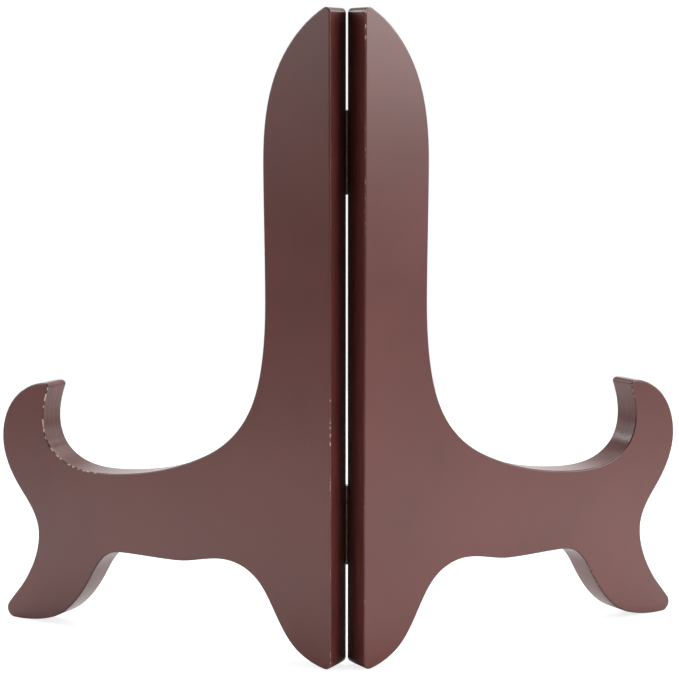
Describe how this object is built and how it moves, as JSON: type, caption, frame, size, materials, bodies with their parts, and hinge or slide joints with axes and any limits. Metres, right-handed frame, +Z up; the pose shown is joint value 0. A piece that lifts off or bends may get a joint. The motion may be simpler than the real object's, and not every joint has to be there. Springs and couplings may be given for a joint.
{
  "type": "folding display stand",
  "caption": "Folding wooden display stand: two hinged panels with upright, hooked cradle, toe and heel, which open as a V and hold a plate or picture.",
  "frame": {"origin": "centre of the bounding box's footprint, on the level surface that the heels and toes stand on", "axes": "+Z up; +X to the right seen from behind, across both arms; +Y forwards, from the hinge edge towards the hooks and toes"},
  "size_m": [0.2404, 0.1, 0.2076],
  "materials": {
    "lacquered_wood": "dark mahogany-brown satin lacquer over sanded hardwood",
    "hinge_metal": "dark bronzed steel",
    "pin_steel": "dark steel wire",
    "screw_steel": "dark bronzed steel, slotted"
  },
  "bodies": {
    "left_half": {"left_panel": "lacquered_wood", "upper_hinge_left_leaf": "hinge_metal", "upper_hinge_left_top_screw": "screw_steel", "upper_hinge_left_bottom_screw": "screw_steel", "lower_hinge_left_leaf": "hinge_metal", "lower_hinge_left_top_screw": "screw_steel", "lower_hinge_left_bottom_screw": "screw_steel", "upper_hinge_pin": "pin_steel", "lower_hinge_pin": "pin_steel"},
    "right_half": {"right_panel": "lacquered_wood", "upper_hinge_right_leaf": "hinge_metal", "upper_hinge_right_top_screw": "screw_steel", "upper_hinge_right_bottom_screw": "screw_steel", "lower_hinge_right_leaf": "hinge_metal", "lower_hinge_right_top_screw": "screw_steel", "lower_hinge_right_bottom_screw": "screw_steel"}
  },
  "joints": [
    {"name": "fold", "type": "hinge", "parent": "left_half", "child": "right_half", "pos_m": [0, -0.02852, 0.04572], "axis": [0, -0.0724, 0.9974], "range_deg": [-10, 112]}
  ]
}
